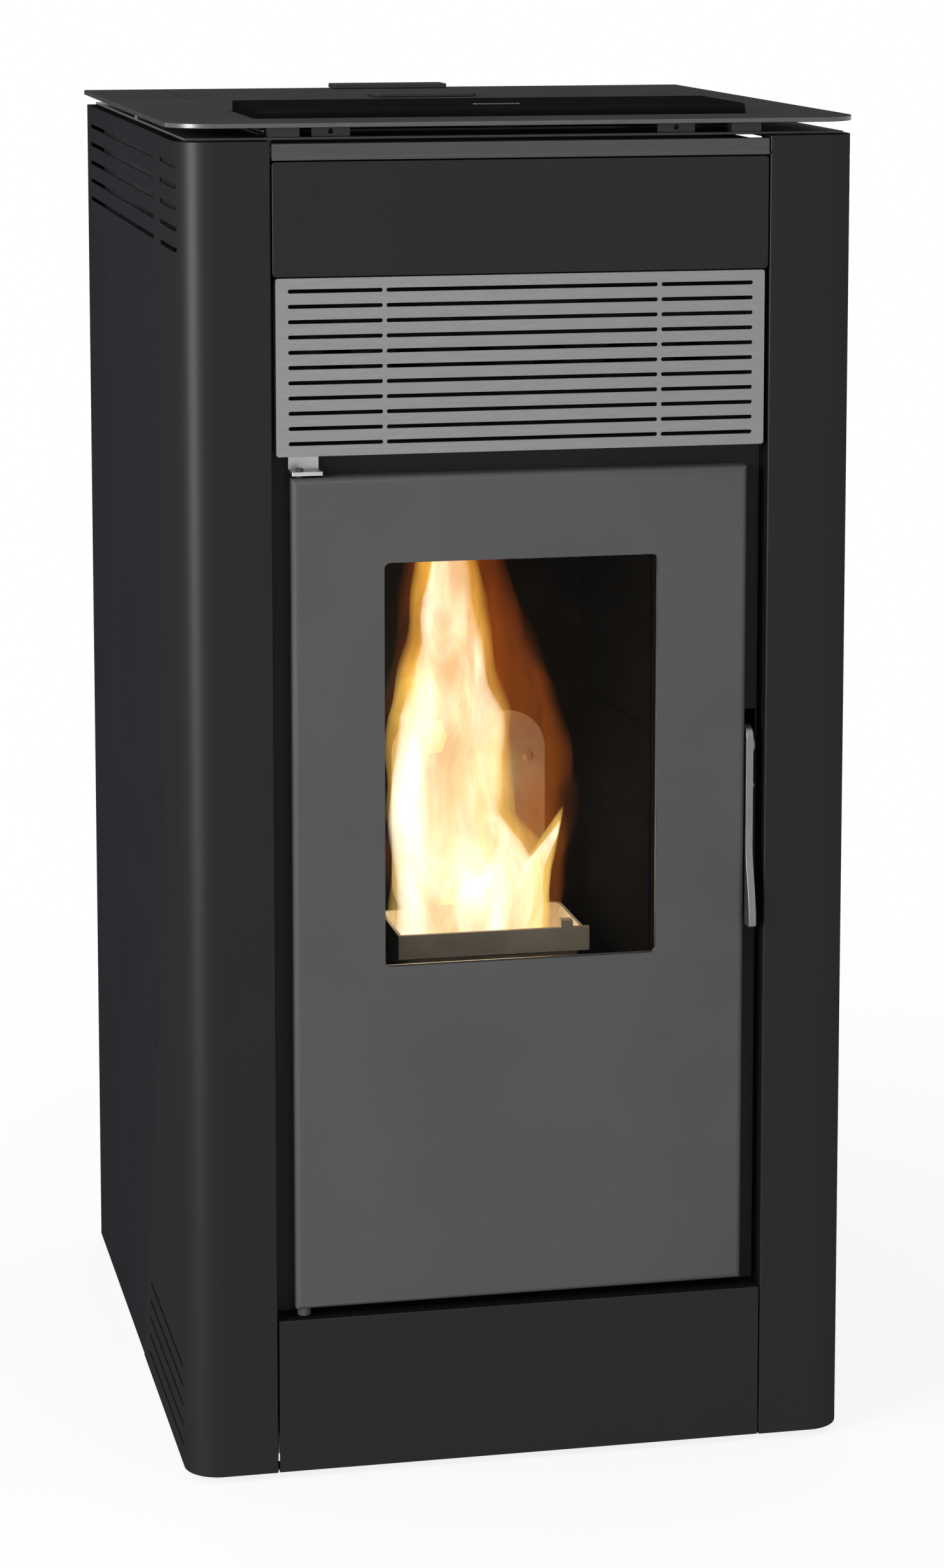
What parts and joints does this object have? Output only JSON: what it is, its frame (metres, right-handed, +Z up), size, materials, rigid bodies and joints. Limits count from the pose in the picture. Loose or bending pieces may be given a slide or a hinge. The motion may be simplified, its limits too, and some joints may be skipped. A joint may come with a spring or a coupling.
{
  "type": "pellet stove",
  "caption": "Tall slim pellet stove with a glazed fire door, slotted air grille, glossy upper panel and a flat top with a hopper lid and control cover.",
  "frame": {"origin": "bottom centre of the whole stove, on the floor", "axes": "+Z up, +X to the right as seen from the front, +Y from the front to the back"},
  "size_m": [0.55, 0.658, 1.0873],
  "materials": {
    "side_paint": "satin dark grey powder paint",
    "gloss_panel": "glossy black enamel",
    "door_paint": "matt mid-grey paint",
    "dark_plate": "matt dark grey heat-proof paint",
    "grille_steel": "satin silver-grey",
    "trim_steel": "dark satin steel",
    "steel_sheet": "plain galvanised sheet",
    "bright_steel": "polished",
    "fire_steel": "heat-stained black steel",
    "cast_iron": "sooty cast iron",
    "refractory": "sooty insulating board",
    "door_glass": "dark ceramic glass",
    "rope": "glass-fibre rope",
    "black_plastic": "moulded",
    "grey_plastic": "moulded"
  },
  "bodies": {
    "root": {"left_front_column": "side_paint", "right_front_column": "side_paint", "left_side_panel": "side_paint", "right_side_panel": "side_paint", "base_front_panel": "side_paint", "top_plate": "side_paint", "lid_hinge_cover": "side_paint", "upper_front_panel": "gloss_panel", "front_plate": "dark_plate", "air_grille": "grille_steel", "trim_bar": "trim_steel", "base_tray": "steel_sheet", "back_panel": "steel_sheet", "top_frame": "steel_sheet", "ash_drawer": "steel_sheet", "heat_exchanger": "steel_sheet", "auger_tube": "steel_sheet", "pellet_chute": "steel_sheet", "hopper": "steel_sheet", "hopper_funnel": "steel_sheet", "smoke_duct": "steel_sheet", "flue_outlet": "steel_sheet", "air_intake_pipe": "steel_sheet", "room_fan_housing": "steel_sheet", "control_board_box": "steel_sheet", "latch_striker": "steel_sheet", "upper_hinge_bracket": "steel_sheet", "igniter": "bright_steel", "firebox": "fire_steel", "fire_back_plate": "fire_steel", "burn_pot_cradle": "cast_iron", "auger_gearmotor": "cast_iron", "flue_fan_housing": "cast_iron", "flue_fan_motor": "cast_iron", "room_fan_motor": "cast_iron", "fire_lining_left": "refractory", "fire_lining_right": "refractory", "foot_front_left": "black_plastic", "foot_front_right": "black_plastic", "foot_rear_left": "black_plastic", "foot_rear_right": "black_plastic", "power_inlet": "black_plastic", "control_panel": "black_plastic"},
    "door": {"door_frame": "door_paint", "door_glass": "door_glass", "glass_retainer": "steel_sheet", "door_seal": "rope"},
    "handle": {"door_handle": "trim_steel"},
    "lid": {"hopper_lid": "side_paint", "lid_grip": "side_paint"},
    "cover": {"control_cover": "gloss_panel", "cover_grip_insert": "bright_steel"},
    "auger": {"auger_screw": "steel_sheet"},
    "flue_wheel": {"flue_fan_impeller": "steel_sheet"},
    "room_wheel": {"room_fan_impeller": "steel_sheet"},
    "pot": {"burn_pot": "cast_iron"},
    "rocker": {"mains_switch": "grey_plastic"},
    "button_1": {"panel_button_1": "grey_plastic"},
    "button_2": {"panel_button_2": "grey_plastic"},
    "button_3": {"panel_button_3": "grey_plastic"}
  },
  "joints": [
    {"name": "door_hinge", "type": "hinge", "parent": "root", "child": "door", "pos_m": [-0.175, -0.307, 0.1385], "axis": [0, 0, -1], "range_deg": [0, 105]},
    {"name": "handle_pivot", "type": "hinge", "parent": "door", "child": "handle", "pos_m": [0.1863, -0.307, 0.578], "axis": [-1, 0, 0], "range_deg": [0, 25]},
    {"name": "lid_hinge", "type": "hinge", "parent": "root", "child": "lid", "pos_m": [0, 0.232, 1.079], "axis": [-1, 0, 0], "range_deg": [0, 80]},
    {"name": "cover_hinge", "type": "hinge", "parent": "root", "child": "cover", "pos_m": [0, -0.117, 1.087], "axis": [-1, 0, 0], "range_deg": [0, 95]},
    {"name": "auger_spin", "type": "hinge", "parent": "root", "child": "auger", "pos_m": [0, 0.201, 0.505], "axis": [0, -0.8944, 0.4472], "continuous": true},
    {"name": "flue_wheel_spin", "type": "hinge", "parent": "root", "child": "flue_wheel", "pos_m": [0.069, -0.0624, 0.215], "axis": [0, 1, 0], "continuous": true},
    {"name": "room_wheel_spin", "type": "hinge", "parent": "root", "child": "room_wheel", "pos_m": [0.12, 0.131, 0.15], "axis": [1, 0, 0], "continuous": true},
    {"name": "pot_lift", "type": "slide", "parent": "root", "child": "pot", "axis": [0, 0, 1], "range_m": [0, 0.06]},
    {"name": "rocker_tip", "type": "hinge", "parent": "root", "child": "rocker", "pos_m": [-0.205, 0.287, 0.138], "axis": [-1, 0, 0], "range_deg": [0, 20]},
    {"name": "button_1_press", "type": "slide", "parent": "root", "child": "button_1", "axis": [0, 0, -1], "range_m": [0, 0.0015], "stiffness_N_per_m": 400, "springref_m": -0.001},
    {"name": "button_2_press", "type": "slide", "parent": "root", "child": "button_2", "axis": [0, 0, -1], "range_m": [0, 0.0015], "stiffness_N_per_m": 400, "springref_m": -0.001},
    {"name": "button_3_press", "type": "slide", "parent": "root", "child": "button_3", "axis": [0, 0, -1], "range_m": [0, 0.0015], "stiffness_N_per_m": 400, "springref_m": -0.001}
  ]
}
